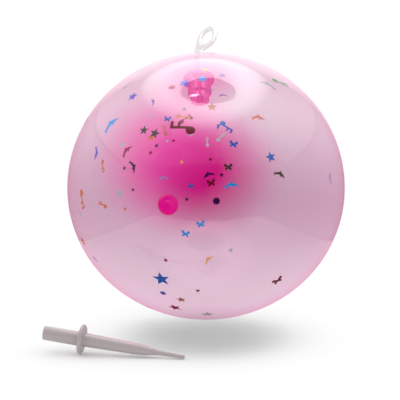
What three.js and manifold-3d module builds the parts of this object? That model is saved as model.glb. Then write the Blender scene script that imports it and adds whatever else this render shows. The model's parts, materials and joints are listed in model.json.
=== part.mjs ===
// An inflated stretch ball with a ring stopper, loose foil shapes inside it, and its blowing straw.
// Millimetres, +Z up. The origin is the middle of the small flat that the ball rests on.
// -Y is the ball's front and +X its right-hand side.
import * as THREE from "three";
import { mergeVertices } from "three/addons/utils/BufferGeometryUtils.js";
import Module from "manifold-3d";

const wasm = await Module();
wasm.setup();

const DEGREE = Math.PI / 180;
const GAP = 0.3; // between pieces that touch on the real ball

// The ball's skin: two half ovals that meet at the waist.
const WAIST_RADIUS = 90;
const WAIST_HEIGHT = 82.9;
const TOP_RISE = 87.7;
const BOTTOM_DROP = 85; // the lower oval's depth, before the floor flattens it
const WALL = 0.5;
const SKIN_SIDES = 40;
const SKIN_STEPS = 9; // for each quarter of the outline
const FACET_SAG = 0.4; // how far the skin's flat facets lie inside the true oval

// The neck, where the ball is blown up, and the bore through it.
const NECK_LONGITUDE = -175;
const NECK_LATITUDE = 49;
const NECK_LIP_RADIUS = 7.2;
const NECK_LIP_RISE = 0.8;
const BOSS_RADIUS = 10.5;
const BOSS_TOP = -1.8;
const BOSS_BOTTOM = -5;
const COLLAR_RADIUS = 8;
const COLLAR_BOTTOM = -15;
const NOSE_RADIUS = 6.3;
const NECK_BOTTOM = -21;
const BORE_RADIUS = 2.3;

// The stopper: a pin that fills the bore, a head that stops on the lip, and a pull ring on a bent stem.
const PIN_RADIUS = BORE_RADIUS - GAP;
const PIN_BOTTOM = -19;
const PIN_POINT = 3;
const HEAD_RADIUS = 4.6;
const HEAD_THICKNESS = 1.4;
const RING_OUTER = 9.3;
const RING_HOLE = 5.1;
const RING_THICKNESS = 2.8;
const RING_EDGE = 0.7; // rounding of the ring's edges
const RING_OFFSET = new THREE.Vector3(5.9, 16.8, 24.4); // from the neck's mouth to the ring's centre
const RING_FACING = new THREE.Vector3(-0.66, -0.54, 0.53);
const STEM_JOIN = 76; // degrees below the ring's side where the stem's right edge meets it
const STEM_FOOT_WIDTH = 7.4;

// The patch that closes the filling hole at the back.
const PATCH_LONGITUDE = -162;
const PATCH_LATITUDE = -17;
const PATCH_RADIUS = 7.5;
const PATCH_DOME = 1.3;
const PATCH_RIM = 0.6;
const FILL_HOLE_RADIUS = 3;
const SPIGOT_DEPTH = 1.6;

// The blowing straw lies on its collar's rim and the tip of its nozzle.
const STRAW_LENGTH = 86.5;
const COLLAR_PLACE = 23.5; // from the mouth end to the collar's middle
const STRAW_COLLAR_RADIUS = 9;
const STRAW_COLLAR_THICKNESS = 3;
const COLLAR_RIM = 0.4; // half the width of the flat on the collar's rounded rim
const MOUTH_RADIUS = 4.3;
const MOUTH_BORE = 3.55;
const BODY_RADIUS = 4.2;
const BODY_END_RADIUS = 3.3;
const BODY_END = 61.5;
const NOZZLE_START = 69.8;
const NOZZLE_RADIUS = 1.45;
const TIP_RADIUS = 1.1;
const TIP_BORE = 0.6;
const STRAW_TURN = -10.3; // heading of the nozzle, turned from +X towards the front
const STRAW_COLLAR_X = -74.2;
const STRAW_COLLAR_Y = -102.3;
const STRAW_SIDES = 24;

// Foil shapes cling to the inside of the skin: kind, foil, size, longitude, latitude, turn.
// Longitude 0 is the front and grows to the right, and a turn is seen from outside.
const FOIL_THICKNESS = 0.3;
const FOIL_PIECES = [
  ["star", "gold", 5.2, -2, 67, 20],
  ["star", "sky", 7.8, -3, 60, 0],
  ["star", "violet", 8.5, -16, 57, -8],
  ["star", "violet", 7.8, -49, 47, 14],
  ["star", "moss", 6.5, -30, 32, 6],
  ["star", "moss", 7.2, -24, 31, -12],
  ["star", "blue", 7.2, 28, 21, 10],
  ["star", "silver", 7.2, -36, 6, 24],
  ["star", "crimson", 3.4, -24, 23, 0],
  ["star", "crimson", 3.4, -17, -20, 16],
  ["star", "blue", 11.7, -21, -30, 4],
  ["star", "copper", 6.5, -14, -43, 0],
  ["star", "crimson", 9.1, -21, -51, 12],
  ["star", "silver", 9.1, 1, -58, 0],
  ["star", "crimson", 3.6, -4, -36, 30],
  ["star", "silver", 7.8, 178, 39, 10],
  ["star", "copper", 7.8, 177, 29, 0],
  ["star", "moss", 4.2, -178, 34, 20],
  ["star", "navy", 3.4, -157, 10, 0],
  ["star", "silver", 4.5, -173, 15, 24],
  ["star", "moss", 3.4, -141, 1, 0],
  ["star", "moss", 3.6, -171, -15, 10],
  ["star", "navy", 3.6, 173, -4, 0],
  ["burst", "crimson", 5.2, -24, 54, 0],
  ["burst", "navy", 5.2, 4, 5, 10],
  ["burst", "orange", 6.5, -68, -19, 0],
  ["burst", "violet", 4.5, -23, -39, 0],
  ["burst", "mauve", 5.2, 169, 50, 0],
  ["burst", "orange", 4.5, -154, 14, 0],
  ["dolphin", "cyan", 13, -52, 33, 55],
  ["dolphin", "crimson", 9.1, -36, 23, 50],
  ["dolphin", "violet", 9.1, -54, 20, -80],
  ["dolphin", "navy", 8.5, -31, 17, -65],
  ["dolphin", "copper", 9.1, 27, 38, -20],
  ["dolphin", "moss", 8.5, 31, 14, -35],
  ["dolphin", "cyan", 9.1, 10, 11, -4],
  ["dolphin", "gold", 7.2, 1, -19, 45],
  ["dolphin", "navy", 8.5, 179, -4, -30],
  ["dolphin", "mauve", 7.8, -160, -5, -25],
  ["dolphin", "blue", 6.5, 174, 19, -60],
  ["dolphin", "silver", 13, 139, 45, 25],
  ["note", "ruby", 15.6, -11, 33, 90],
  ["note", "blue", 9.1, 10, 35, -125],
  ["note", "green", 11.7, 65, 55, -115],
  ["note", "orange", 11.7, -59, 1, -150],
  ["note", "orange", 7.2, -45, 0, 90],
  ["note", "copper", 7.8, -161, 17, 0],
  ["note", "crimson", 9.1, -170, 22, 65],
  ["note", "silver", 6.5, 179, 11, 15],
  ["butterfly", "ruby", 7.2, 37, -33, 40],
  ["butterfly", "ruby", 5.2, 2, 12, 10],
  ["butterfly", "moss", 5.2, 9, 18, 0],
  ["butterfly", "blue", 5.2, 12, 27, -15],
  ["butterfly", "cyan", 5.2, -2, -4, 12],
  ["butterfly", "cyan", 5.2, -8, -8, -10],
];

const PINK_RUBBER = [0xe86aae, 0.12, 0];
const DEEP_PINK_RUBBER = [0xe0218a, 0.2, 0];
const CLEAR_RUBBER = [0xe9dfe6, 0.15, 0];
const PALE_PLASTIC = [0xc4bac2, 0.3, 0];
const FOIL_COLOURS = {
  blue: 0x1f4fa8,
  sky: 0x6f9fe0,
  navy: 0x10125e,
  cyan: 0x1f90cf,
  violet: 0x6a5fb8,
  mauve: 0xa880b8,
  silver: 0xb8b2b8,
  gold: 0xf0b64e,
  orange: 0xd07838,
  copper: 0xc8806a,
  crimson: 0xa81848,
  ruby: 0x6a0812,
  green: 0x4f9e62,
  moss: 0x3c4a38,
};

function material([colour, roughness, metalness]) {
  return new THREE.MeshStandardMaterial({ color: colour, roughness, metalness });
}

function named(name, geometry, finish) {
  const mesh = new THREE.Mesh(geometry, material(finish));
  mesh.name = name;
  return mesh;
}

// A closed geometry as a manifold-3d solid, and back.
function solidFrom(geometry) {
  const bare = geometry.clone();
  bare.deleteAttribute("normal");
  bare.deleteAttribute("uv");
  const merged = mergeVertices(bare, 1e-4);
  return new wasm.Manifold(
    new wasm.Mesh({
      numProp: 3,
      vertProperties: merged.attributes.position.array,
      triVerts: new Uint32Array(merged.index.array),
    }),
  );
}

function geometryFrom(solid) {
  const mesh = solid.getMesh();
  const geometry = new THREE.BufferGeometry();
  geometry.setAttribute("position", new THREE.BufferAttribute(mesh.vertProperties, 3));
  geometry.setIndex(new THREE.BufferAttribute(mesh.triVerts, 1));
  return geometry;
}

// A turned shape about Z, from [radius, height] pairs that start and end on the axis or close on themselves.
function turned(profile, sides) {
  const points = profile.map(([radius, height]) => new THREE.Vector2(radius, height));
  return new THREE.LatheGeometry(points, sides).rotateX(90 * DEGREE);
}

function rod(radius, bottom, top, sides) {
  return turned([[0, bottom], [radius, bottom], [radius, top], [0, top]], sides);
}

// The skin's outline, [radius, height], at an angle up from the waist.
function outlinePoint(angle, inset) {
  const rise = angle < 0 ? BOTTOM_DROP : TOP_RISE;
  const radius = (WAIST_RADIUS - inset) * Math.cos(angle);
  const height = WAIST_HEIGHT + (rise - inset) * Math.sin(angle);
  return [Math.max(radius, 0), height];
}

function ovalProfile(inset) {
  const foot = -Math.asin((WAIST_HEIGHT - inset) / (BOTTOM_DROP - inset));
  const profile = [[0, inset]];
  for (let i = 0; i <= SKIN_STEPS; i++) profile.push(outlinePoint(foot * (1 - i / SKIN_STEPS), inset));
  for (let i = 1; i < SKIN_STEPS; i++) profile.push(outlinePoint((90 * DEGREE * i) / SKIN_STEPS, inset));
  profile.push([0, WAIST_HEIGHT + TOP_RISE - inset]);
  return profile;
}

// The frame of a spot on the skin: where it is, which way is out, and which way is east and north.
function spotOnSkin(longitude, latitude) {
  const lon = longitude * DEGREE;
  const lat = latitude * DEGREE;
  const rise = latitude < 0 ? BOTTOM_DROP : TOP_RISE;
  const ray = new THREE.Vector3(
    Math.sin(lon) * Math.cos(lat),
    -Math.cos(lon) * Math.cos(lat),
    Math.sin(lat),
  );
  const reach = 1 / Math.hypot(Math.cos(lat) / WAIST_RADIUS, Math.sin(lat) / rise);
  const place = ray.multiplyScalar(reach);
  const out = new THREE.Vector3(
    place.x / WAIST_RADIUS ** 2,
    place.y / WAIST_RADIUS ** 2,
    place.z / rise ** 2,
  ).normalize();
  const east = new THREE.Vector3(Math.cos(lon), Math.sin(lon), 0);
  const north = out.clone().cross(east).normalize();
  place.z += WAIST_HEIGHT;
  return { place, out, east, north };
}

// A group whose +Z points out of the skin at a spot, sunk by depth and turned about that direction.
function groupOnSkin(longitude, latitude, depth = 0, turn = 0) {
  const spot = spotOnSkin(longitude, latitude);
  const group = new THREE.Group();
  group.quaternion.setFromRotationMatrix(new THREE.Matrix4().makeBasis(spot.east, spot.north, spot.out));
  group.rotateZ(turn * DEGREE);
  group.position.copy(spot.place).addScaledVector(spot.out, -depth);
  group.updateMatrix();
  return group;
}

function holeThroughSkin(group, radius) {
  const reach = 4;
  return solidFrom(rod(radius, -reach, reach, 24).applyMatrix4(group.matrix));
}

function makeSkin(neckGroup, patchGroup) {
  const outside = solidFrom(turned(ovalProfile(0), SKIN_SIDES));
  const inside = solidFrom(turned(ovalProfile(WALL), SKIN_SIDES));
  const shell = outside
    .subtract(inside)
    .subtract(holeThroughSkin(neckGroup, NECK_LIP_RADIUS + GAP))
    .subtract(holeThroughSkin(patchGroup, FILL_HOLE_RADIUS));
  return named("ball_skin", geometryFrom(shell), PINK_RUBBER);
}

function makeNeck() {
  const profile = [
    [BORE_RADIUS, NECK_LIP_RISE],
    [BORE_RADIUS, NECK_BOTTOM],
    [NOSE_RADIUS - 1.6, NECK_BOTTOM],
    [NOSE_RADIUS - 0.5, NECK_BOTTOM + 0.6],
    [NOSE_RADIUS, NECK_BOTTOM + 1.8],
    [NOSE_RADIUS, COLLAR_BOTTOM],
    [COLLAR_RADIUS - 0.5, COLLAR_BOTTOM],
    [COLLAR_RADIUS, COLLAR_BOTTOM + 0.6],
    [COLLAR_RADIUS, BOSS_BOTTOM],
    [BOSS_RADIUS - 0.6, BOSS_BOTTOM],
    [BOSS_RADIUS, BOSS_BOTTOM + 0.7],
    [BOSS_RADIUS, BOSS_TOP],
    [NECK_LIP_RADIUS, BOSS_TOP],
    [NECK_LIP_RADIUS, NECK_LIP_RISE - 0.4],
    [NECK_LIP_RADIUS - 0.5, NECK_LIP_RISE],
    [BORE_RADIUS, NECK_LIP_RISE],
  ];
  return named("neck_bush", turned(profile, 24), DEEP_PINK_RUBBER);
}

// The pull ring and its stem as one outline: y runs up to the ring's centre, the origin. The stem is a wide
// tab that hangs from the ring's left side and bends back to the middle of the neck.
function ringOutline(stemLength) {
  const outline = new THREE.Shape();
  const join = STEM_JOIN * DEGREE;
  const foot = STEM_FOOT_WIDTH / 2;
  outline.moveTo(-foot, -stemLength);
  outline.lineTo(foot, -stemLength);
  outline.bezierCurveTo(
    foot - 1.1,
    -stemLength * 0.8,
    -1.8,
    -RING_OUTER - 3.7,
    RING_OUTER * Math.cos(join),
    -RING_OUTER * Math.sin(join),
  );
  outline.absarc(0, 0, RING_OUTER, -join, Math.PI, false);
  outline.bezierCurveTo(
    -RING_OUTER,
    -stemLength * 0.47,
    -foot - 2.8,
    -stemLength * 0.72,
    -foot,
    -stemLength,
  );
  const hole = new THREE.Path();
  hole.absarc(0, 0, RING_HOLE, 0, 2 * Math.PI, true);
  outline.holes.push(hole);
  return outline;
}

function makePullRing(neckGroup) {
  const along = RING_OFFSET.clone().normalize();
  const side = along.clone().cross(RING_FACING).normalize();
  const facing = side.clone().cross(along);
  const stemLength = RING_OFFSET.length() - NECK_LIP_RISE - GAP - HEAD_THICKNESS / 2;
  const ring = new THREE.ExtrudeGeometry(ringOutline(stemLength), {
    depth: RING_THICKNESS - 2 * RING_EDGE,
    curveSegments: 10,
    bevelThickness: RING_EDGE,
    bevelSize: RING_EDGE,
    bevelOffset: -RING_EDGE,
    bevelSegments: 2,
  });
  ring.translate(0, 0, RING_EDGE - RING_THICKNESS / 2);
  const toWorld = new THREE.Matrix4().makeBasis(side, along, facing);
  toWorld.setPosition(neckGroup.position.clone().add(RING_OFFSET));
  return ring.applyMatrix4(toWorld).applyMatrix4(neckGroup.matrix.clone().invert());
}

function makeStopper(neckGroup) {
  const headBottom = NECK_LIP_RISE + GAP;
  const headTop = headBottom + HEAD_THICKNESS;
  const pin = turned(
    [
      [0, PIN_BOTTOM],
      [PIN_RADIUS / 2, PIN_BOTTOM],
      [PIN_RADIUS, PIN_BOTTOM + PIN_POINT],
      [PIN_RADIUS, headBottom],
      [HEAD_RADIUS, headBottom],
      [HEAD_RADIUS, headTop - 0.5],
      [HEAD_RADIUS - 0.6, headTop],
      [0, headTop],
    ],
    20,
  );
  const whole = solidFrom(pin).add(solidFrom(makePullRing(neckGroup)));
  return named("ring_stopper", geometryFrom(whole), CLEAR_RUBBER);
}

function makePatch() {
  const profile = [
    [0, -SPIGOT_DEPTH],
    [FILL_HOLE_RADIUS - GAP, -SPIGOT_DEPTH],
    [FILL_HOLE_RADIUS - GAP, GAP],
    [PATCH_RADIUS - 0.2, GAP],
    [PATCH_RADIUS, GAP + PATCH_RIM],
    [PATCH_RADIUS * 0.8, GAP + PATCH_DOME],
    [PATCH_RADIUS * 0.4, GAP + PATCH_DOME + 0.4],
    [0, GAP + PATCH_DOME + 0.5],
  ];
  return named("closing_patch", turned(profile, 24), DEEP_PINK_RUBBER);
}

// The straw's outside then its bore, from the mouth end, as [radius, distance along the straw].
function strawProfile() {
  const collarStart = COLLAR_PLACE - STRAW_COLLAR_THICKNESS / 2;
  const collarEnd = COLLAR_PLACE + STRAW_COLLAR_THICKNESS / 2;
  const profile = [
    [MOUTH_BORE, 0],
    [MOUTH_RADIUS - 0.2, 0],
    [MOUTH_RADIUS, 0.3],
    [MOUTH_RADIUS, collarStart - 0.4],
    [MOUTH_RADIUS + 0.6, collarStart],
    [STRAW_COLLAR_RADIUS - 1, collarStart + 0.3],
    [STRAW_COLLAR_RADIUS, COLLAR_PLACE - COLLAR_RIM],
    [STRAW_COLLAR_RADIUS, COLLAR_PLACE + COLLAR_RIM],
    [STRAW_COLLAR_RADIUS - 1, collarEnd - 0.3],
    [BODY_RADIUS + 0.6, collarEnd],
    [BODY_RADIUS, collarEnd + 0.4],
    [BODY_END_RADIUS, BODY_END],
  ];
  const noseSteps = 4;
  for (let i = 1; i <= noseSteps; i++) {
    const share = i / noseSteps;
    const fall = Math.sin(share * 90 * DEGREE) * 0.35 + share * 0.65;
    const along = BODY_END + (NOZZLE_START - BODY_END) * share;
    profile.push([BODY_END_RADIUS + (NOZZLE_RADIUS - BODY_END_RADIUS) * fall, along]);
  }
  profile.push(
    [TIP_RADIUS, STRAW_LENGTH],
    [TIP_BORE, STRAW_LENGTH],
    [TIP_BORE, NOZZLE_START],
    [BODY_END_RADIUS - 1, BODY_END - 2],
    [MOUTH_BORE - 0.3, collarEnd],
    [MOUTH_BORE, collarStart],
    [MOUTH_BORE, 0],
  );
  return profile;
}

function makeStraw() {
  const span = STRAW_LENGTH - COLLAR_PLACE - COLLAR_RIM;
  const dip = Math.atan((STRAW_COLLAR_RADIUS - TIP_RADIUS) / span);
  const straw = named("blowing_straw", turned(strawProfile(), STRAW_SIDES), PALE_PLASTIC);
  straw.position.z = -COLLAR_PLACE;
  const tilted = new THREE.Group();
  tilted.rotation.y = 90 * DEGREE + dip;
  tilted.add(straw);
  const laid = new THREE.Group();
  laid.rotation.z = STRAW_TURN * DEGREE;
  const rest = STRAW_COLLAR_RADIUS * Math.cos(dip) + COLLAR_RIM * Math.sin(dip);
  laid.position.set(STRAW_COLLAR_X, STRAW_COLLAR_Y, rest);
  laid.add(tilted);
  return laid;
}

function pointedRound(points, depth) {
  const shape = new THREE.Shape();
  for (let i = 0; i < 2 * points; i++) {
    const angle = 90 * DEGREE + (i * Math.PI) / points;
    const radius = i % 2 ? 0.5 * depth : 0.5;
    const x = radius * Math.cos(angle);
    const y = radius * Math.sin(angle);
    if (i) shape.lineTo(x, y);
    else shape.moveTo(x, y);
  }
  return shape;
}

function dolphinShape() {
  const shape = new THREE.Shape();
  shape.moveTo(0.5, -0.12);
  shape.quadraticCurveTo(0.34, 0.12, 0.06, 0.15);
  shape.lineTo(-0.04, 0.27);
  shape.lineTo(-0.1, 0.12);
  shape.quadraticCurveTo(-0.28, 0.06, -0.38, -0.1);
  shape.lineTo(-0.5, -0.04);
  shape.lineTo(-0.43, -0.19);
  shape.lineTo(-0.46, -0.34);
  shape.lineTo(-0.33, -0.21);
  shape.quadraticCurveTo(-0.16, -0.05, 0.08, -0.05);
  shape.lineTo(0.04, -0.2);
  shape.lineTo(0.2, -0.07);
  shape.quadraticCurveTo(0.34, -0.05, 0.5, -0.12);
  return shape;
}

function noteShape() {
  const shape = new THREE.Shape();
  shape.moveTo(0.06, 0.5);
  shape.lineTo(0.06, -0.14);
  shape.absellipse(0, -0.31, 0.17, 0.19, 70 * DEGREE, 360 * DEGREE, false);
  shape.lineTo(0.17, 0.1);
  shape.lineTo(0.36, 0.1);
  shape.lineTo(0.36, 0.21);
  shape.lineTo(0.17, 0.21);
  shape.lineTo(0.17, 0.38);
  shape.lineTo(0.38, 0.38);
  shape.lineTo(0.38, 0.5);
  return shape;
}

function butterflyShape() {
  const wing = [
    [0.05, 0.12],
    [0.3, 0.42],
    [0.5, 0.34],
    [0.46, 0.06],
    [0.22, -0.02],
    [0.4, -0.2],
    [0.28, -0.42],
    [0.06, -0.2],
  ];
  const other = wing.map(([x, y]) => [-x, y]).reverse();
  return new THREE.Shape([...wing, ...other].map(([x, y]) => new THREE.Vector2(x, y)));
}

const FOIL_SHAPES = {
  star: pointedRound(5, 0.42),
  burst: pointedRound(8, 0.66),
  dolphin: dolphinShape(),
  note: noteShape(),
  butterfly: butterflyShape(),
};

// A flat shape lies far enough in that its corners clear the curved, faceted skin.
function foilDepth(size) {
  return WALL + GAP + FACET_SAG + FOIL_THICKNESS / 2 + size ** 2 / (8 * BOTTOM_DROP);
}

function makeFoil(name, [kind, foil, size, longitude, latitude, turn]) {
  const geometry = new THREE.ExtrudeGeometry(FOIL_SHAPES[kind], {
    depth: FOIL_THICKNESS / size,
    bevelEnabled: false,
    curveSegments: kind === "note" ? 8 : 3,
  });
  geometry.translate(0, 0, -FOIL_THICKNESS / size / 2);
  geometry.scale(size, size, size);
  const group = groupOnSkin(longitude, latitude, foilDepth(size), turn);
  group.add(named(name, geometry, [FOIL_COLOURS[foil], 0.35, 0.6]));
  return group;
}

function addFoils(ball) {
  const counts = {};
  FOIL_PIECES.forEach((piece) => {
    const kind = piece[0];
    counts[kind] = (counts[kind] || 0) + 1;
    ball.add(makeFoil(kind + "_" + String(counts[kind]).padStart(2, "0"), piece));
  });
}

const ball = new THREE.Group();
const neckGroup = groupOnSkin(NECK_LONGITUDE, NECK_LATITUDE);
const patchGroup = groupOnSkin(PATCH_LONGITUDE, PATCH_LATITUDE);
ball.add(makeSkin(neckGroup, patchGroup));
neckGroup.add(makeNeck(), makeStopper(neckGroup));
patchGroup.add(makePatch());
ball.add(neckGroup, patchGroup, makeStraw());
addFoils(ball);

export default ball;
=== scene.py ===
"""Looks for a clear pink stretch ball: its skin, neck, stopper, patch, foil shapes and blowing straw."""
import json
import math

import bmesh
import bpy
import numpy as np
from mathutils import Matrix, Vector


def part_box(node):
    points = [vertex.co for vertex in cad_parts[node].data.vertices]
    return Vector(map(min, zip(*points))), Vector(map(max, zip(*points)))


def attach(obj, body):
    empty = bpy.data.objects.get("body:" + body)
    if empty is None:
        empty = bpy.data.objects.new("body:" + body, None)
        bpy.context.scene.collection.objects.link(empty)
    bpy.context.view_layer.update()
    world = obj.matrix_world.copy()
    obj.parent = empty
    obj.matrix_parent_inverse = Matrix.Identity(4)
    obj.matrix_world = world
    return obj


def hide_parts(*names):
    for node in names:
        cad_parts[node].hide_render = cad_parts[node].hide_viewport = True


bl_info = {
    "name": "Stretch Ball Looks",
    "version": (1, 0, 0),
    "blender": (4, 5, 0),
    "location": "3D View > Sidebar > Stretch Ball",
    "description": "Builds a blown-up stretch ball, its stopper, foil shapes and blowing straw",
    "category": "Object",
}

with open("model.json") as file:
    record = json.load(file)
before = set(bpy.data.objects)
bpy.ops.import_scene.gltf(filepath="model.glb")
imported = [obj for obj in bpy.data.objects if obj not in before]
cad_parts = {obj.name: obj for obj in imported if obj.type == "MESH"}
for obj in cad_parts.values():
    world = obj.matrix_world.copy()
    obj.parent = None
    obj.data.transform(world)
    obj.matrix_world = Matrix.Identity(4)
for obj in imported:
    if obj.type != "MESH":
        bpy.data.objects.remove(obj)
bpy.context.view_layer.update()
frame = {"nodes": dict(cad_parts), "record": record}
MM = 0.001
FULL_TURN = 2 * math.pi

# Stretches for a distance: alike along every axis, and so long that its axis doesn't count
EVEN = (1, 1, 1)
IGNORED = 1e6

# The skin is two half ellipsoids that meet at the waist, with a flat where it stands on the floor
SKIN_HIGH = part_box("ball_skin")[1]
WAIST_RADIUS = SKIN_HIGH.x
WAIST_HEIGHT = 82.9 * MM
TOP_RISE = SKIN_HIGH.z - WAIST_HEIGHT
BOTTOM_DROP = 85 * MM
WAIST = Vector((0, 0, WAIST_HEIGHT))
# Longitude, from the front towards the right, and latitude, in degrees
NECK_SPOT = (-175, 49)
PATCH_SPOT = (-162, -17)

# Foil: how far inside the skin, how thick, how much of each tip is cut, and its longest undivided edge
FOIL_INSET = 0.35 * MM
FOIL_THICKNESS = 0.08 * MM
FOIL_TIP_CUT = 0.16 * MM
FOIL_LONG_EDGE = 3 * MM
FOIL_SHARP_ANGLE = 40


# ---------------------------------------------------------------- geometry helpers

def skin_reach(direction):
    """Point on the skin's outside that lies in a direction from the middle of the waist."""
    rise = TOP_RISE if direction.z > 0 else BOTTOM_DROP
    share = math.hypot(direction.x / WAIST_RADIUS, direction.y / WAIST_RADIUS, direction.z / rise)
    point = direction / share
    point.z = max(point.z, -WAIST_HEIGHT)
    return WAIST + point


def skin_normal(point):
    """Which way is out of the skin at a point on it."""
    local = point - WAIST
    rise = TOP_RISE if local.z > 0 else BOTTOM_DROP
    return Vector((local.x / WAIST_RADIUS**2, local.y / WAIST_RADIUS**2, local.z / rise**2)).normalized()


def spot_direction(longitude, latitude):
    """Unit vector from the middle of the waist towards a longitude and latitude."""
    lon, lat = math.radians(longitude), math.radians(latitude)
    return Vector((math.sin(lon) * math.cos(lat), -math.cos(lon) * math.cos(lat), math.sin(lat)))


def spot_matrix(longitude, latitude, sink=0.0, turn=0.0):
    """Frame on the skin: +X east, +Y north, +Z out, sunk and turned about +Z."""
    place = skin_reach(spot_direction(longitude, latitude))
    out = skin_normal(place)
    lon = math.radians(longitude)
    east = Vector((math.cos(lon), math.sin(lon), 0))
    north = out.cross(east).normalized()
    axes = Matrix((east, north, out)).transposed().to_4x4()
    return Matrix.Translation(place - out * sink) @ axes @ Matrix.Rotation(math.radians(turn), 4, "Z")


def turned_matrix(node):
    """Frame of a turned CAD node: its axis is +Z, and the origin is its thicker end."""
    points = np.array([v.co for v in frame["nodes"][node].data.vertices])
    middle = points.mean(0)
    axis = np.linalg.svd(points - middle, full_matrices=False)[2][0]
    along = (points - middle) @ axis
    across = np.linalg.norm(points - middle - np.outer(along, axis), axis=1)
    low, high = along.min(), along.max()
    if across[along < low + MM].max() < across[along > high - MM].max():
        axis, low = -axis, -high
    start = Vector(middle + axis * low)
    return Matrix.Translation(start) @ Vector(axis).to_track_quat("Z", "Y").to_matrix().to_4x4()


def finished(bm, name, body, node, sharp=None):
    """Turns a bmesh into a smooth-shaded piece that rides on a body and may stand for a CAD node."""
    mesh = bpy.data.meshes.new(name)
    bm.to_mesh(mesh)
    bm.free()
    mesh.shade_smooth()
    if sharp is not None:
        mesh.set_sharp_from_angle(angle=math.radians(sharp))
    piece = bpy.data.objects.new(name, mesh)
    bpy.context.scene.collection.objects.link(piece)
    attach(piece, body)
    if node:
        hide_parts(node)
    return piece


def add_subdivision(piece, levels):
    smooth = piece.modifiers.new("Subdivision", "SUBSURF")
    smooth.levels = smooth.render_levels = levels


def revolve(bm, profile, sides, matrix, closed=False):
    """Spins an outline of (radius, height) pairs about Z and then places it.

    The outline's ends lie on the axis, or it closes on itself."""
    rim = [bm.verts.new((radius, 0, height)) for radius, height in profile]
    chain = list(zip(rim, rim[1:])) + ([(rim[-1], rim[0])] if closed else [])
    edges = [bm.edges.new(pair) for pair in chain]
    bmesh.ops.spin(
        bm, geom=rim + edges, cent=(0, 0, 0), axis=(0, 0, 1), angle=FULL_TURN, steps=sides, use_merge=True
    )
    bmesh.ops.remove_doubles(bm, verts=bm.verts, dist=1e-7)
    bmesh.ops.recalc_face_normals(bm, faces=bm.faces)
    bmesh.ops.transform(bm, matrix=matrix, verts=bm.verts)


def rounded(corners, segments=3):
    """Rounds an outline's corners, all but its ends, each cut back by its own third number."""
    outline = []
    for i, corner in enumerate(corners):
        here = Vector(corner[:2])
        if i in (0, len(corners) - 1):
            outline.append(tuple(here))
            continue
        before, after = Vector(corners[i - 1][:2]) - here, Vector(corners[i + 1][:2]) - here
        cut = min(corner[2], before.length * 0.49, after.length * 0.49)
        start, end = here + before.normalized() * cut, here + after.normalized() * cut
        for k in range(segments + 1):
            t = k / segments
            outline.append(tuple(start.lerp(here, t).lerp(here.lerp(end, t), t)))
    return outline


# ---------------------------------------------------------------- shader helpers

class Wire:
    """A shader value. Arithmetic on it adds Math nodes."""

    def __init__(self, surface, socket):
        self.surface, self.socket = surface, socket

    def _maths(self, operation, *values):
        return self.surface.node("ShaderNodeMath", {"operation": operation}, dict(enumerate(values)))

    def __add__(self, other):
        return self._maths("ADD", self, other)

    def __radd__(self, other):
        return self._maths("ADD", other, self)

    def __sub__(self, other):
        return self._maths("SUBTRACT", self, other)

    def __rsub__(self, other):
        return self._maths("SUBTRACT", other, self)

    def __mul__(self, other):
        return self._maths("MULTIPLY", self, other)

    def __pow__(self, other):
        return self._maths("POWER", self, other)

    def clamped(self):
        return self._maths("MINIMUM", self._maths("MAXIMUM", self, 0.0), 1.0)


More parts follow.
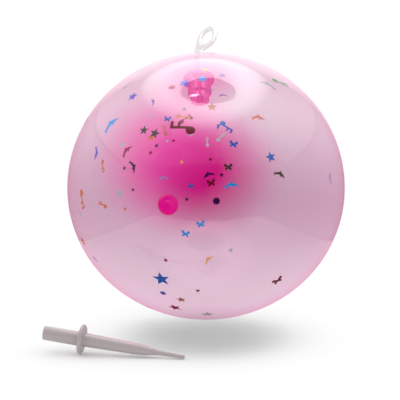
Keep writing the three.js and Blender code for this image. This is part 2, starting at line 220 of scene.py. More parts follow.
class Surface:
    """A material under construction."""

    def __init__(self, name):
        self.material = bpy.data.materials.new(name)
        self.material.use_nodes = True
        self.tree = self.material.node_tree
        self.tree.nodes.clear()
        self.output = self.tree.nodes.new("ShaderNodeOutputMaterial")

    def node(self, kind, settings=None, sockets=None, out=0):
        """Adds a node: its settings come first, then the values or links of its sockets."""
        made = self.tree.nodes.new(kind)
        for key, value in (settings or {}).items():
            if key == "stops":
                self._set_stops(made.color_ramp, value)
            else:
                setattr(made, key, value)
        for key, value in (sockets or {}).items():
            if isinstance(value, Wire):
                self.tree.links.new(value.socket, made.inputs[key])
            else:
                made.inputs[key].default_value = value
        return Wire(self, made.outputs[out])

    @staticmethod
    def _set_stops(ramp, stops):
        """Sets a ramp's stops, each a position and a grey value."""
        while len(ramp.elements) < len(stops):
            ramp.elements.new(0.5)
        for element, (position, value) in zip(ramp.elements, stops):
            element.position = position
            element.color = (value, value, value, 1)

    def place(self):
        """Object coordinates, in metres."""
        return self.node("ShaderNodeTexCoord", out=3)

    def noise(self, place, scale, detail):
        sockets = {"Vector": place, "Scale": scale, "Detail": detail}
        return self.node("ShaderNodeTexNoise", {}, sockets)

    def distance(self, place, centre, stretch):
        """How far a place is from a centre, in units of the stretch along each axis."""
        away = self.node("ShaderNodeVectorMath", {"operation": "SUBTRACT"}, {0: place, 1: tuple(centre)})
        scaled = self.node("ShaderNodeVectorMath", {"operation": "DIVIDE"}, {0: away, 1: tuple(stretch)})
        return self.node("ShaderNodeVectorMath", {"operation": "LENGTH"}, {0: scaled}, out=1)

    def height(self, place, unit=1.0):
        """How high a place is above the floor, in metres or another unit."""
        return self.distance(place, (0, 0, 0), (IGNORED, IGNORED, unit))

    def skin_spot(self, place, spot, stretch, inner, outer):
        """A soft-edged spot on the skin, at a longitude and latitude."""
        return self.falloff(self.distance(place, skin_reach(spot_direction(*spot)), stretch), inner, outer)

    def facing(self, **sockets):
        """0 where the surface is seen straight on, 1 at a glancing angle."""
        return self.node("ShaderNodeLayerWeight", {}, {"Blend": 0.5, **sockets}, out=1)

    def falloff(self, value, inner, outer):
        """1 below inner, 0 above outer, smooth between them."""
        settings = {"interpolation_type": "SMOOTHSTEP"}
        sockets = {"Value": value, 1: inner, 2: outer, 3: 1.0, 4: 0.0}
        return self.node("ShaderNodeMapRange", settings, sockets)

    def blend_colour(self, share, first, second):
        sockets = {0: share, 6: (*first, 1), 7: (*second, 1)}
        return self.node("ShaderNodeMix", {"data_type": "RGBA"}, sockets, out=2)

    def bump(self, height, strength, distance):
        sockets = {"Strength": strength, "Distance": distance, "Height": height}
        return self.node("ShaderNodeBump", {}, sockets)

    def clear(self, tint):
        return self.node("ShaderNodeBsdfTransparent", {}, {"Color": (*tint, 1)})

    def gloss(self, roughness, normal):
        sockets = {"Color": (1, 1, 1, 1), "Roughness": roughness, "Normal": normal}
        return self.node("ShaderNodeBsdfAnisotropic", {}, sockets)

    def solid(self, colour, roughness, **more):
        base = colour if isinstance(colour, Wire) else (*colour, 1)
        sockets = {"Base Color": base, "Roughness": roughness}
        sockets.update({key.replace("_", " "): value for key, value in more.items()})
        return self.node("ShaderNodeBsdfPrincipled", {}, sockets)

    def mix(self, share, first, second):
        return self.node("ShaderNodeMixShader", {}, {0: share, 1: first, 2: second})

    def mirror_share(self, straight, normal, edge):
        """Share of light a glossy surface mirrors: one straight on, and another at a glancing angle."""
        return self.facing(Normal=normal) ** 5 * (edge - straight) + straight

    def done(self, shader):
        self.tree.links.new(shader.socket, self.output.inputs["Surface"])
        return self.material


def shaded(colour, share):
    """A colour made darker or lighter, up to full brightness."""
    return tuple(min(channel * share, 1) for channel in colour)


def skin_pigment(s, looks, place):
    """Share of the thick wall's colour: two thick spots, the neck's surround and the rim."""
    trail_share, neck_share, core_share = 0.68, 0.5, 1.08
    neck_reach = (0.04, 0.04, 0.04)
    core = s.skin_spot(place, looks.thick_spot, looks.thick_spread, 0.045, 0.985)
    trail = s.skin_spot(place, looks.trail_spot, looks.trail_spread, 0.1, 1.1) * trail_share
    thick = 1 - (1 - core) * (1 - trail)
    around_neck = s.skin_spot(place, NECK_SPOT, neck_reach, 0.2, 1.0) * neck_share
    cloud = s.noise(place, 14.0, 3.0) * 0.12 - 0.06
    rim = s.facing() ** 5 * looks.rim_pigment
    return (thick * core_share + around_neck + cloud * thick + rim).clamped()


def pale_film_and_painted_reflection(s, place):
    """1 near the top and the foot, 0 in a belt round the middle that is weaker at its two sides. At the foot
    and the two sides this paleness is partly the film's own and partly painted reflection of the floor and
    the tent's walls.
    """
    height = s.height(place)
    left_weakness, right_weakness = 0.32, 0.28
    belt = s.falloff(height, 0.08, 0.14) * (1 - s.falloff(height, 0.025, 0.07))
    side = Vector((WAIST_RADIUS, 0, 0))
    left = s.falloff(s.distance(place, WAIST - side, EVEN), 0.05, 0.13)
    right = s.falloff(s.distance(place, WAIST + side, EVEN), 0.04, 0.11)
    return 1 - belt * (1 - left * left_weakness) * (1 - right * right_weakness)


def skin_material(looks):
    """Thin clear pink film, deep magenta where the wall stretched less, with painted shade low on the deep
    patch, painted reflection in its pale foot and sides, and a glossy, dimpled surface.
    """
    s = Surface("ball_skin")
    place = s.place()
    dimple = s.bump(s.noise(place, 130.0, 1.0), 0.03, 0.3 * MM)
    # The pale tint at the foot and the sides is partly painted reflection of the floor and the tent's walls
    thin = s.mix(pale_film_and_painted_reflection(s, place), s.clear(looks.thin_tint), s.clear(looks.pale_and_reflection_tint))
    # Painted shade: towards the dark spot, low on the right of the thick patch, the thick film takes a darker
    # tint
    dark = s.skin_spot(place, looks.painted_shade_spot, EVEN, 0.01, 0.055)
    deep = s.mix(dark, s.clear(looks.bright_tint), s.clear(looks.shaded_thick_tint))
    film = s.mix(skin_pigment(s, looks, place), thin, deep)
    # Over the patch the skin adds no colour
    over_patch = s.skin_spot(place, PATCH_SPOT, EVEN, 6.6 * MM, 7.0 * MM)
    film = s.mix(over_patch, film, s.clear((1, 1, 1)))
    haze = s.solid(looks.haze_colour, 0.5, Specular_IOR_Level=0.0)
    foot_dulling = s.falloff(s.height(place), 0.036, 0.055) * 0.65
    shine = s.mirror_share(looks.gloss, dimple, looks.edge_gloss) * (1 - foot_dulling)
    return s.done(s.mix(shine, s.mix(looks.haze, film, haze), s.gloss(0.06, dimple)))


def deep_rubber(name, looks, tint, body_share):
    """Thick pink rubber: light comes through it, and a share of it is body colour."""
    s = Surface(name)
    place = s.place()
    dimple = s.bump(s.noise(place, 500.0, 2.0), 0.1, 0.1 * MM)
    cloud = s.noise(place, 120.0, 2.0)
    body = s.blend_colour(cloud, looks.deep_pink, shaded(looks.deep_pink, 0.85))
    through = s.mix(body_share, s.clear(tint), s.solid(body, 0.3, Normal=dimple))
    return s.done(s.mix(s.mirror_share(0.035, dimple, 0.5), through, s.gloss(0.12, dimple)))


def clear_rubber(looks):
    """Milky rubber that lets some light through, tinged pink where it is seen edge on."""
    s = Surface("clear_rubber")
    place = s.place()
    ripple = s.bump(s.noise(place, 260.0, 2.0), 0.1, 0.2 * MM)
    milk = s.noise(place, 160.0, 3.0) * 0.15 + 0.78
    through = s.mix(s.facing() ** 3, s.clear((0.95, 0.94, 0.95)), s.clear(looks.ring_edge))
    body = s.mix(milk, through, s.solid(looks.ring_colour, 0.35, Normal=ripple, Specular_IOR_Level=0.1))
    return s.done(s.mix(s.mirror_share(0.03, ripple, 0.2), body, s.gloss(0.2, ripple)))


def straw_plastic(looks):
    """Pale, faintly mottled plastic with a soft sheen."""
    s = Surface("straw_plastic")
    place = s.place()
    mottle = s.noise(place, 90.0, 3.0)
    grain = s.bump(s.noise(place, 1600.0, 2.0), 0.05, 0.05 * MM)
    tone = s.blend_colour(mottle, looks.straw_colour, shaded(looks.straw_colour, 0.93))
    roughness = s.noise(place, 300.0, 2.0) * 0.12 + 0.32
    return s.done(s.solid(tone, roughness, Normal=grain, Coat_Weight=0.3, Coat_Roughness=0.3))


def foil_material(name, colour):
    """Metallised film, mostly its own colour, with faint creases."""
    s = Surface(name)
    place = s.place()
    crease = s.bump(s.noise(place, 500.0, 3.0), 0.35, 0.15 * MM)
    rub = s.noise(place, 380.0, 2.0)
    tone = s.blend_colour(rub, shaded(colour, 0.85), shaded(colour, 1.1))
    return s.done(s.solid(tone, rub * 0.2 + 0.3, Metallic=0.1, Normal=crease, Specular_IOR_Level=0.0))


def floor_material(colour):
    """Matt white floor, very faintly specked."""
    s = Surface("studio_floor")
    speck = s.noise(s.place(), 40.0, 2.0)
    tone = s.blend_colour(speck, colour, shaded(colour, 0.995))
    return s.done(s.solid(tone, 0.8, Specular_IOR_Level=0.0))


def lamp_material(name, strength, shade=None, outline=None):
    """A white lamp. Its shade varies the brightness, and its outline cuts it to shape."""
    s = Surface(name)
    pattern = shade(s) if shade else (1, 1, 1, 1)
    lamp = s.node("ShaderNodeEmission", {}, {"Color": pattern, "Strength": strength})
    return s.done(s.mix(outline(s), s.clear((1, 1, 1)), lamp) if outline else lamp)


# ---------------------------------------------------------------- properties

def size(name, description, default):
    return bpy.props.FloatProperty(name=name, description=description, default=default, unit="LENGTH")


def colour(name, description, default):
    return bpy.props.FloatVectorProperty(
        name=name, description=description, default=default, size=3, subtype="COLOR", min=0, max=1
    )


class BallLooks(bpy.types.PropertyGroup):
    thin_tint: colour("Thin tint", "What one layer of thin skin lets through", (0.70, 0.53, 0.63))
    # Partly painted reflection: at the foot and the sides this tint stands in for the floor's and the walls'
    # reflection
    pale_and_reflection_tint: colour("Pale tint", "What the skin's thinnest part lets through", (0.86, 0.75, 0.815))
    # Painted shade: the darker tint painted into the thick film round the dark spot
    shaded_thick_tint: colour("Thick tint", "What one layer of thick skin lets through", (0.72, 0.004, 0.25))
    bright_tint: colour("Bright tint", "What thick skin lets through elsewhere", (0.95, 0.07, 0.45))
    haze_colour: colour("Haze", "Body colour of the skin", (0.9, 0.12, 0.5))
    haze: bpy.props.FloatProperty(name="Haze share", description="How milky the skin is", default=0.025)
    rim_pigment: bpy.props.FloatProperty(
        name="Rim pigment", description="How much deeper the skin is at a glancing angle", default=0.3
    )
    gloss: bpy.props.FloatProperty(name="Gloss", description="Mirror straight on", default=0.04)
    edge_gloss: bpy.props.FloatProperty(name="Edge gloss", description="Mirror at the rim", default=0.35)
    thick_spot: bpy.props.FloatVectorProperty(
        name="Thick spot", description="Longitude and latitude of the thick wall", size=2,
        default=(-176, -1),
    )
    # Painted shade: where the thick film's painted shade is darkest
    painted_shade_spot: bpy.props.FloatVectorProperty(
        name="Dark spot", description="Longitude and latitude of the darkest wall", size=2,
        default=(174, -12),
    )
    thick_spread: bpy.props.FloatVectorProperty(
        name="Thick spread", description="How far the thick wall reaches", size=3,
        default=(0.068, 0.07, 0.062), subtype="XYZ",
    )
    trail_spot: bpy.props.FloatVectorProperty(
        name="Trail spot", description="Longitude and latitude of the thick wall's second patch", size=2,
        default=(-155, 9),
    )
    trail_spread: bpy.props.FloatVectorProperty(
        name="Trail spread", description="How far the second patch reaches", size=3,
        default=(0.055, 0.062, 0.06), subtype="XYZ",
    )
    deep_pink: colour("Deep pink", "Body colour of thick rubber", (1.0, 0.12, 0.6))
    ring_colour: colour("Ring", "Body colour of the stopper", (0.82, 0.78, 0.805))
    ring_edge: colour("Ring edge", "What the stopper lets through, seen edge on", (0.72, 0.56, 0.64))
    straw_colour: colour("Straw", "Colour of the blowing straw", (0.405, 0.345, 0.35))
    neck_lip: size("Neck lip", "Radius of the neck's lip", 7.2 * MM)


class StudioLooks(bpy.types.PropertyGroup):
    elevation: bpy.props.FloatProperty(
        name="Elevation", description="How far the camera looks down", default=math.radians(10),
        subtype="ANGLE",
    )
    distance: size("Distance", "From the camera to the ball's middle", 1.1)
    aim: bpy.props.FloatVectorProperty(
        name="Aim", description="Where the camera looks, from the ball's middle", size=3,
        default=(-3.9 * MM, 0, -7.9 * MM), subtype="TRANSLATION",
    )
    lens: bpy.props.FloatProperty(name="Lens", description="Focal length in millimetres", default=152.3)
    floor_colour: colour("Floor", "Colour of the floor", (0.95, 0.95, 0.95))
    sky: bpy.props.FloatProperty(name="Sky", description="Brightness all round", default=1.08)
    ceiling: bpy.props.FloatProperty(name="Ceiling", description="Brightness of the top light", default=5.3)
    walls: bpy.props.FloatProperty(name="Walls", description="Brightness of the tent's walls", default=2.7)
    front: bpy.props.FloatProperty(name="Front", description="Brightness of its opening", default=0.12)
    shade_radius: size("Shade radius", "Radius of the disc that shades the floor", 0.05)
    shade_shift: size("Shade shift", "How far the disc that shades the floor is moved forward", 0.06)
    shade_height: size("Shade height", "Height of the disc that shades the floor", 0.022)
    shade_glow: bpy.props.FloatProperty(name="Shade glow", description="Light left in it", default=0.42)


# ---------------------------------------------------------------- operators

class BALL_OT_studio(bpy.types.Operator):
    """Floor, light tent and camera"""

    bl_idname = "ball.studio"
    bl_label = "Studio"
    FRONT = -0.345
    HALF_FRONT = 0.272

    def execute(self, context):
        looks = context.scene.studio_looks
        self.make_floor(looks)
        self.make_sky(context, looks)
        self.make_tent(looks)
        self.make_shade(looks)
        self.make_camera(context, looks)
        context.scene.view_settings.view_transform = "Standard"
        return {"FINISHED"}

    def panel(self, name, corners, material):
        """A flat four-cornered sheet: lower left, lower right, upper left, upper right."""
        bm = bmesh.new()
        bmesh.ops.create_grid(bm, x_segments=1, y_segments=1, size=1)
        for vert in bm.verts:
            vert.co = corners[(vert.co.x > 0) + 2 * (vert.co.y > 0)]
        mesh = bpy.data.meshes.new(name)
        bm.to_mesh(mesh)
        bm.free()
        mesh.materials.append(material)
        sheet = bpy.data.objects.new(name, mesh)
        bpy.context.scene.collection.objects.link(sheet)
        return sheet

    def make_floor(self, looks):
        half, level = 20, -0.4 * MM
        corners = [(x, y, level) for y in (-half, half) for x in (-half, half)]
        self.panel("studio_floor", corners, floor_material(looks.floor_colour))

    def make_sky(self, context, looks):
        world = bpy.data.worlds.new("studio")
        world.use_nodes = True
        world.node_tree.nodes["Background"].inputs["Color"].default_value = (1, 1, 1, 1)
        world.node_tree.nodes["Background"].inputs["Strength"].default_value = looks.sky
        context.scene.world = world

    def make_tent(self, looks):
        """A light tent that only glossy surfaces see: top light, two walls, dim front and back sheet."""
        sheets = [self.make_top(looks), *self.make_walls(looks)]
        sheets += [self.make_front(looks), self.make_back(looks)]
        for sheet in sheets:
            sheet.visible_camera = False
            sheet.visible_diffuse = False
            sheet.visible_transmission = False
            sheet.visible_shadow = False

    def make_top(self, looks):
        """The top light: an oval glow round a dark hole, with a small glint in the hole."""
        height = 0.25
        left, right, near, far = -0.14, 0.14, -0.175, 0.2
        middle, reach = (-0.003, 0.018, height), (0.108, 0.145, 1.0)
        hole_middle, hole_reach = (0.004, -0.033, height), (0.045, 0.036, 1.0)
        glint_middle, glint_reach = (-0.020, -0.046, height), (0.011, 0.003, 1.0)
        least_glow, hole_glow, glint_glow = 2.6, 0.7, 22

        def glow(s):
            place = s.place()
            inner = s.distance(place, hole_middle, hole_reach)
            outer = s.distance(place, middle, reach)
            ring = s.falloff(outer, 0.5, 1.15) * (1 - s.falloff(inner, 0.9, 1.5) * 0.5)
            hole = s.falloff(inner, 0.985, 1.0)
            glint = s.falloff(s.distance(place, glint_middle, glint_reach), 0.3, 1.0)
            lit = (ring * looks.ceiling + least_glow) * (1 - hole)
            return lit + hole * hole_glow + glint * glint_glow

        def outline(s):
            return s.falloff(s.distance(s.place(), middle, reach), 0.9, 1.15)

        corners = [(x, y, height) for y in (near, far) for x in (left, right)]
        return self.panel("tent_top", corners, lamp_material("tent_top", 1.0, glow, outline))

    def make_walls(self, looks):
        """The side walls: banded up their height, dimmer at the back, the front edge and low in front."""
        height, back, half_back, least_glow = 0.6, 0.15, 0.13, 0.03
        back_dimming, front_dimming = 0.6, 0.96
        bands = [(0.0, 0.18), (0.012, 0.18), (0.018, 0.26), (0.1, 0.28), (0.25, 0.62), (0.268, 0.55),
                 (0.275, 0.3), (0.283, 0.85), (0.5, 0.8), (1.0, 0.4)]

        def glow(s):
            place = s.place()
            height_share = s.height(place, height)
            rows = s.node("ShaderNodeValToRGB", {"stops": bands}, {"Fac": height_share})
            depth = s.distance(place, (0, 0.2, 0), (IGNORED, 1, IGNORED))
            at_back = s.falloff(depth, 0.05, 0.2)
            towards_front = 1 - s.falloff(depth, 0.12, 0.54)
            low = s.falloff(height_share, 0.3, 0.8)
            lit = rows * (1 - towards_front * low * front_dimming) * (1 - at_back * back_dimming)
            return lit * s.falloff(depth, 0.33, 0.545) + least_glow

        sheets = []
        for side, sign in (("left", -1), ("right", 1)):
            foot = [(sign * self.HALF_FRONT, self.FRONT), (sign * half_back, back)]
            corners = [(x, y, z) for z in (0, height) for x, y in foot]
            wall = lamp_material("tent_" + side, looks.walls, glow)
            sheets.append(self.panel("tent_" + side, corners, wall))
        return sheets

    def make_front(self, looks):
        """The tent's open front: dim low down, brighter above."""
        top, least_glow, high_glow = 1.4, 0.3, 14

        def glow(s):
            return least_glow + (1 - s.falloff(s.height(s.place()), 0.38, 0.95)) * high_glow

        corners = [(x, self.FRONT, z) for z in (0, top) for x in (-self.HALF_FRONT, self.HALF_FRONT)]
        return self.panel("tent_front", corners, lamp_material("tent_front", looks.front, glow))

    def make_back(self, looks):
        """The sheet behind the ball, brighter in its middle."""
        back, half, foot, top, extra_glow = 0.6, 0.45, 0.02, 0.9, 1.8

        def glow(s):
            away = s.distance(s.place(), (0, back, 0.45), (0.42, 1.0, 0.42))
            return s.falloff(away, 0.4, 1.0) * extra_glow + looks.sky

        corners = [(x, back, z) for z in (foot, top) for x in (-half, half)]
        return self.panel("tent_back", corners, lamp_material("tent_back", 1.0, glow))

    def make_shade(self, looks):
        """A grey disc only the floor's bounced light sees: it stands for the shade under the ball."""
        bm = bmesh.new()
        lift = Matrix.Translation((0, -looks.shade_shift, looks.shade_height))
        bmesh.ops.create_circle(bm, cap_ends=True, segments=64, radius=looks.shade_radius, matrix=lift)
        mesh = bpy.data.meshes.new("shade")
        bm.to_mesh(mesh)
        bm.free()
        mesh.materials.append(lamp_material("shade", looks.shade_glow))
        disc = bpy.data.objects.new("shade", mesh)
        bpy.context.scene.collection.objects.link(disc)
        disc.visible_camera = False
        disc.visible_glossy = False
        disc.visible_transmission = False
        disc.visible_shadow = False

    def make_camera(self, context, looks):
        data = bpy.data.cameras.new("camera")
        data.lens = looks.lens
        data.sensor_width = 36
        camera = bpy.data.objects.new("camera", data)
        context.scene.collection.objects.link(camera)
        back = Vector((0, -math.cos(looks.elevation), math.sin(looks.elevation)))
        camera.location = WAIST + back * looks.distance
        sight = WAIST + Vector(looks.aim) - camera.location
        camera.rotation_euler = sight.to_track_quat("-Z", "Y").to_euler()
        data.clip_start = 0.05
        data.clip_end = 60
        context.scene.camera = camera


class BALL_OT_skin(bpy.types.Operator):
    """The blown-up skin, open under the neck's lip"""

    bl_idname = "ball.skin"
    bl_label = "Skin"

    def execute(self, context):
        looks = context.scene.ball_looks
        bm = bmesh.new()
        bmesh.ops.create_uvsphere(bm, u_segments=144, v_segments=80, radius=1)
        neck = spot_matrix(*NECK_SPOT)
        axis = spot_direction(*NECK_SPOT)
        lip_gap = 0.4 * MM
        cap_cosine = math.cos((looks.neck_lip + lip_gap) / (neck.translation - WAIST).length)
        cap = [f for f in bm.faces if f.calc_center_median().z > cap_cosine]
        bmesh.ops.delete(bm, geom=cap, context="FACES")
        towards_neck = axis.to_track_quat("Z", "Y").to_matrix()
        for vert in bm.verts:
            vert.co = skin_reach(towards_neck @ vert.co.normalized())
        skin = finished(bm, "skin", "ball", "ball_skin")
        skin.visible_diffuse = False
        skin.data.materials.append(skin_material(looks))
        return {"FINISHED"}


class BALL_OT_neck(bpy.types.Operator):
    """The stepped neck bush with its bore"""

    bl_idname = "ball.neck"
    bl_label = "Neck"

    def execute(self, context):
        looks = context.scene.ball_looks
        bore, lip = 2.3, looks.neck_lip / MM
        # Radius, height and corner cut in mm
        outline = [
            (bore, -10), (bore, 0.8, 0.3), (lip, 0.8, 0.5), (lip, -1.2, 0.2), (10.5, -1.8, 0.8),
            (10.5, -5, 1), (8, -5, 0.4), (8, -15, 1), (6.3, -15, 0.3), (6.3, -21, 1.8),
            (bore, -21, 0.5), (bore, -10),
        ]
        profile = [(r * MM, z * MM) for r, z in rounded(outline)][:-1]
        bm = bmesh.new()
        revolve(bm, profile, 64, spot_matrix(*NECK_SPOT), closed=True)
        neck = finished(bm, "neck", "ball", "neck_bush")
        neck.data.materials.append(deep_rubber("neck_rubber", looks, (1.0, 0.5, 0.8), 0.3))
        return {"FINISHED"}


class BALL_OT_patch(bpy.types.Operator):
    """The domed patch that closes the filling hole"""

    bl_idname = "ball.patch"
    bl_label = "Patch"

    def execute(self, context):
        looks = context.scene.ball_looks
        # Radius, height and corner cut in mm
        outline = [
            (0, -1.6), (2.7, -1.6, 0.4), (2.7, -0.4, 0.4), (6.2, -0.5, 0.3), (7.5, 0.2, 0.4), (7.3, 1.0, 0.3),
            (5.6, 1.5, 1), (2.8, 2.0, 1), (0, 2.1),
        ]
        profile = [(r * MM, z * MM) for r, z in rounded(outline)]
        bm = bmesh.new()
        revolve(bm, profile, 64, spot_matrix(*PATCH_SPOT))
        patch = finished(bm, "patch", "ball", "closing_patch")
        patch.data.materials.append(deep_rubber("patch_rubber", looks, (1.0, 0.004, 0.6), 0.0))
        return {"FINISHED"}


class BALL_OT_stopper(bpy.types.Operator):
    """The stopper: pull ring, bent stem, head and pin in one milky moulding"""

    bl_idname = "ball.stopper"
    bl_label = "Stopper"

    def execute(self, context):
        looks = context.scene.ball_looks
        neck = spot_matrix(*NECK_SPOT)
        # Where the ring's middle is from the neck, and roughly which way its flat side faces
        offset = Vector((5.9, 16.8, 24.4)) * MM
        outlook = Vector((-0.66, -0.54, 0.53))
        along = offset.normalized()
        side = along.cross(outlook).normalized()
        facing = side.cross(along)
        ring_axes = Matrix((side, along, facing)).transposed().to_4x4()
        ring_frame = Matrix.Translation(neck.translation + offset) @ ring_axes
        bm = bmesh.new()
        self.make_ring(bm, ring_frame)
        self.grow_stem(bm, ring_frame, neck)
        bmesh.ops.recalc_face_normals(bm, faces=bm.faces)
        stopper = finished(bm, "stopper", "stopper", "ring_stopper")
        add_subdivision(stopper, 2)
        stopper.data.materials.append(clear_rubber(looks))
        return {"FINISHED"}

    def make_ring(self, bm, ring_frame):
        """A ring of rounded rectangular section, its flat sides facing the frame's +Z and -Z."""
        inner, outer, half = 5.1 * MM, 9.3 * MM, 1.4 * MM
        edge = 0.9 * MM
        section = [
            (outer, 0), (outer, half - edge), (outer - edge, half), (inner + edge, half),
            (inner, half - edge), (inner, 0), (inner, edge - half), (inner + edge, -half),
            (outer - edge, -half), (outer, edge - half),
        ]
        revolve(bm, section, 32, ring_frame, closed=True)

    def grow_stem(self, bm, ring_frame, neck):
        """Draws the ring's lowest faces down into the stem, the head and the pin."""
        foot_radius, foot_from, foot_to = 9.0 * MM, 192, 276
        inverse = ring_frame.inverted()
        bm.faces.ensure_lookup_table()

        def at_foot(face):
            middle = inverse @ face.calc_center_median()
            outside = math.hypot(middle.x, middle.y) > foot_radius
            turn = math.degrees(math.atan2(middle.y, middle.x)) % 360
            return outside and foot_from < turn < foot_to

        faces = [f for f in bm.faces if at_foot(f)]
        head_top = 2.5 * MM
        out = neck.to_3x3() @ Vector((0, 0, 1))
        side, facing = (ring_frame.to_3x3().col[i] for i in (0, 2))
        foot = neck.translation + out * head_top
        across = (side - out * side.dot(out)).normalized()
        over = out.cross(across).normalized()

        def on_stem(aside, below):
            return ring_frame @ Vector((aside * MM, -below * MM, 0))

        # Middle, wide and deep directions, half width and half depth in mm
        stations = [
            (on_stem(-5.0, 10.2), side, facing, 4.5, 1.3),
            (on_stem(-5.0, 11.8), side, facing, 4.3, 1.25),
            (on_stem(-4.0, 15.5), side, facing, 3.9, 1.3),
            (on_stem(-2.4, 20.5), side, facing, 3.6, 1.5),
            (on_stem(-0.8, 25.0), side, facing, 3.6, 2.2),
            (foot + out * 0.6 * MM, across, over, 4.0, 3.4),
            (foot, across, over, 4.1, 4.1),
            (foot - out * 0.3 * MM, across, over, 4.6, 4.6),
            (foot - out * 1.1 * MM, across, over, 4.6, 4.6),
            (foot - out * 1.4 * MM, across, over, 4.3, 4.3),
            (foot - out * 1.45 * MM, across, over, 2.2, 2.2),
            (foot - out * 2.2 * MM, across, over, 2.0, 2.0),
            (foot - out * 18 * MM, across, over, 2.0, 2.0),
            (foot - out * 21 * MM, across, over, 1.0, 1.0),
            (foot - out * 21.5 * MM, across, over, 0.5, 0.5),
        ]
        for middle, wide, deep, half_wide, half_deep in stations:
            faces = self.extrude_to(bm, faces, middle, wide, deep, half_wide * MM, half_deep * MM)

    def extrude_to(self, bm, faces, middle, wide, deep, half_wide, half_deep):
        """Extrudes a patch of faces and lays its rim on an oval round a middle."""
        grown = bmesh.ops.extrude_face_region(bm, geom=faces)["geom"]
        bmesh.ops.delete(bm, geom=faces, context="FACES_ONLY")
        top = [g for g in grown if isinstance(g, bmesh.types.BMFace)]
        verts = {v for f in top for v in f.verts}
        centre = sum((v.co for v in verts), Vector()) / len(verts)
        edges = {e for f in top for e in f.edges}
        rim = {v for e in edges if sum(f in top for f in e.link_faces) == 1 for v in e.verts}
        for vert in verts:
            away = vert.co - centre
            x, y = away.dot(wide), away.dot(deep)
            if vert in rim:
                angle = math.atan2(y / half_deep, x / half_wide)
                x, y = half_wide * math.cos(angle), half_deep * math.sin(angle)
            else:
                x, y = 0, 0
            vert.co = middle + wide * x + deep * y
        return top


class BALL_OT_straw(bpy.types.Operator):
    """The blowing straw: mouth tube, collar, tapering body and nozzle"""

    bl_idname = "ball.straw"
    bl_label = "Straw"

    def execute(self, context):
        looks = context.scene.ball_looks
        # Radius, height and corner cut in mm
        outline = [
            (3.55, 10), (3.55, 0, 0.3), (4.3, 0, 0.35), (4.3, 21.6, 0.8), (8.0, 22.2, 1.2), (9.0, 23.0, 0.5),
            (9.0, 24.0, 0.5), (8.0, 24.8, 1.2), (4.2, 25.3, 0.8), (3.35, 60.5, 8), (1.5, 70.2, 4),
            (1.1, 86.5, 0.25), (0.6, 86.5, 0.2), (0.6, 69.8, 2), (2.3, 59.5, 4), (3.25, 25, 3), (3.55, 10),
        ]
        profile = [(r * MM, z * MM) for r, z in rounded(outline, 5)][:-1]
        bm = bmesh.new()
        revolve(bm, profile, 64, turned_matrix("blowing_straw"), closed=True)
        straw = finished(bm, "straw", "straw", "blowing_straw")
        straw.data.materials.append(straw_plastic(looks))
        return {"FINISHED"}


FOIL_TINTS = {
    "foil_blue": (0.0, 0.13, 0.50),
    "foil_sky": (0.10, 0.42, 0.80),
    "foil_navy": (0.0, 0.0, 0.06),
    "foil_cyan": (0.0, 0.36, 0.80),
    "foil_violet": (0.13, 0.12, 0.60),
    "foil_mauve": (0.43, 0.28, 0.60),
    "foil_silver": (0.53, 0.60, 0.60),
    "foil_gold": (0.95, 0.52, 0.12),
    "foil_orange": (0.70, 0.22, 0.03),
    "foil_copper": (0.60, 0.22, 0.12),
    "foil_crimson": (0.34, 0.0, 0.07),
    "foil_ruby": (0.13, 0.0, 0.0),
    "foil_green": (0.12, 0.42, 0.15),
    "foil_moss": (0.025, 0.045, 0.015),
}
FOIL_SLOTS = {
    s["node"]: s["material_slot"]
    for s in frame["record"]["subparts"]
    if s["material_slot"].startswith("foil_")
}


# Where each kind of foil shape is taken from: CAD node, size in mm, longitude, latitude, turn
FOIL_SOURCES = {
    "star": ("star_11", 11.7, -21, -30, 4),
    "burst": ("burst_03", 6.5, -68, -19, 0),
    "dolphin": ("dolphin_01", 13, -52, 33, 55),
    "note": ("note_01", 15.6, -11, 33, 90),
    "butterfly": ("butterfly_01", 7.2, 37, -33, 40),
}
# More foil shapes than the CAD holds: kind, slot, size in mm, longitude, latitude, turn
MORE_FOILS = [
    ("dolphin", "foil_violet", 6.5, -151, 33, 60),
    ("dolphin", "foil_mauve", 6.2, 171, 36, -15),
    ("burst", "foil_silver", 3.9, -176, 31, 0),
    ("star", "foil_green", 3.6, -169, 28, 0),
    ("dolphin", "foil_mauve", 5.2, -170, 42, 35),
    ("dolphin", "foil_violet", 4.5, -174, 36, 35),
    ("note", "foil_silver", 7.8, 173, 13, 60),
    ("note", "foil_copper", 8.5, -12, 39.5, -80),
    ("star", "foil_moss", 3.2, -173, 23, 0),
    ("butterfly", "foil_blue", 5.2, -161, 23, 10),
    ("burst", "foil_silver", 2.6, -162, 12, 0),
    ("star", "foil_crimson", 3.2, -165, 12, 15),
    ("star", "foil_silver", 4.5, -51, 24, 0),
    ("burst", "foil_silver", 4.5, -139, 12, 0),
    ("note", "foil_copper", 7.8, -47, 16, -140),
    ("star", "foil_moss", 3.2, -145, -9, 0),
    ("star", "foil_orange", 3.2, -139, -17, 20),
    ("burst", "foil_silver", 3.9, -62, -6, 0),
    ("star", "foil_gold", 3.2, -169, 2, 10),
    ("star", "foil_ruby", 3.2, 178, 3, 0),
    ("butterfly", "foil_blue", 4.5, -173, -9, 20),
    ("star", "foil_silver", 3.9, 10, -15, 0),
    ("burst", "foil_crimson", 5.2, -57, -59, 0),
    ("dolphin", "foil_mauve", 7.2, 61, 9, 80),
    ("dolphin", "foil_violet", 5.2, -62, -26, 120),
    ("burst", "foil_crimson", 5.2, -94, 29, 0),
    ("star", "foil_silver", 3.2, -153, 25, 0),
    ("note", "foil_silver", 6.5, -123, 45, 60),
]


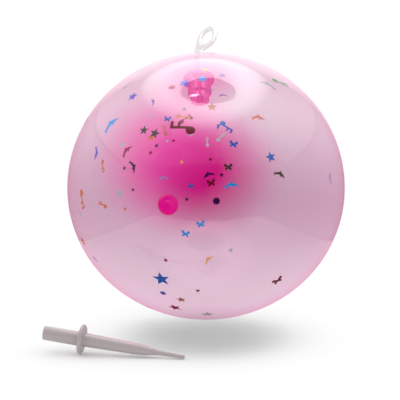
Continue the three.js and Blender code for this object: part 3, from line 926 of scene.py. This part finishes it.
class BALL_OT_foils(bpy.types.Operator):
    """The foil shapes that cling to the inside of the skin"""

    bl_idname = "ball.foils"
    bl_label = "Foil shapes"

    def execute(self, context):
        finishes = {slot: foil_material(slot, tint) for slot, tint in FOIL_TINTS.items()}
        for node, slot in FOIL_SLOTS.items():
            bm = self.cut_out(node)
            self.cling(bm)
            piece = finished(bm, node + "_foil", "ball", node, FOIL_SHARP_ANGLE)
            piece.data.materials.append(finishes[slot])
        for number, (kind, slot, size_mm, longitude, latitude, turn) in enumerate(MORE_FOILS, 1):
            source, source_size, *spot, source_turn = FOIL_SOURCES[kind]
            bm = self.cut_out(source)
            home = spot_matrix(*spot, turn=source_turn)
            scale = Matrix.Scale(size_mm / source_size, 4)
            there = spot_matrix(longitude, latitude, turn=turn)
            bmesh.ops.transform(bm, matrix=there @ scale @ home.inverted(), verts=bm.verts)
            self.cling(bm)
            piece = finished(bm, f"more_{kind}_{number:02d}", "ball", None, FOIL_SHARP_ANGLE)
            piece.data.materials.append(finishes[slot])
        return {"FINISHED"}

    def cut_out(self, node):
        """The outer face of a CAD foil plate, with its tips rounded."""
        bm = bmesh.new()
        bm.from_mesh(frame["nodes"][node].data)
        bmesh.ops.remove_doubles(bm, verts=bm.verts, dist=1e-6)
        low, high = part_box(node)
        out = skin_normal(skin_reach((low + high) / 2 - WAIST))
        bm.normal_update()
        least_outward = 0.7
        others = [f for f in bm.faces if f.normal.dot(out) < least_outward]
        bmesh.ops.delete(bm, geom=others, context="FACES")
        bmesh.ops.dissolve_faces(bm, faces=bm.faces)
        bmesh.ops.bevel(
            bm, geom=bm.verts, offset=FOIL_TIP_CUT, segments=2, profile=0.5, affect="VERTICES", material=-1,
            clamp_overlap=True,
        )
        bmesh.ops.triangulate(bm, faces=bm.faces)
        return bm

    def cling(self, bm):
        """Lays a cut-out just inside the skin and gives it a foil's thickness."""
        long = [e for e in bm.edges if e.calc_length() > FOIL_LONG_EDGE]
        bmesh.ops.subdivide_edges(bm, edges=long, cuts=2)
        bmesh.ops.triangulate(bm, faces=bm.faces)
        for vert in bm.verts:
            point = skin_reach(vert.co - WAIST)
            vert.co = point - skin_normal(point) * FOIL_INSET
        bmesh.ops.solidify(bm, geom=bm.faces, thickness=FOIL_THICKNESS)


class BALL_PT_panel(bpy.types.Panel):
    """Builds the ball piece by piece"""

    bl_label = "Stretch Ball"
    bl_idname = "BALL_PT_panel"
    bl_space_type = "VIEW_3D"
    bl_region_type = "UI"
    bl_category = "Stretch Ball"

    def draw(self, context):
        for operator in OPERATORS:
            self.layout.operator(operator.bl_idname)
        for looks in (context.scene.ball_looks, context.scene.studio_looks):
            for name in looks.__annotations__:
                self.layout.prop(looks, name)


OPERATORS = (
    BALL_OT_studio,
    BALL_OT_skin,
    BALL_OT_neck,
    BALL_OT_patch,
    BALL_OT_stopper,
    BALL_OT_straw,
    BALL_OT_foils,
)
CLASSES = (BallLooks, StudioLooks, *OPERATORS, BALL_PT_panel)


def register():
    for cls in CLASSES:
        bpy.utils.register_class(cls)
    bpy.types.Scene.ball_looks = bpy.props.PointerProperty(type=BallLooks)
    bpy.types.Scene.studio_looks = bpy.props.PointerProperty(type=StudioLooks)


def unregister():
    del bpy.types.Scene.studio_looks
    del bpy.types.Scene.ball_looks
    for cls in reversed(CLASSES):
        bpy.utils.unregister_class(cls)


def main():
    register()
    for operator in OPERATORS:
        getattr(bpy.ops.ball, operator.bl_idname.split(".")[1])()


if __name__ == "__main__":
    main()
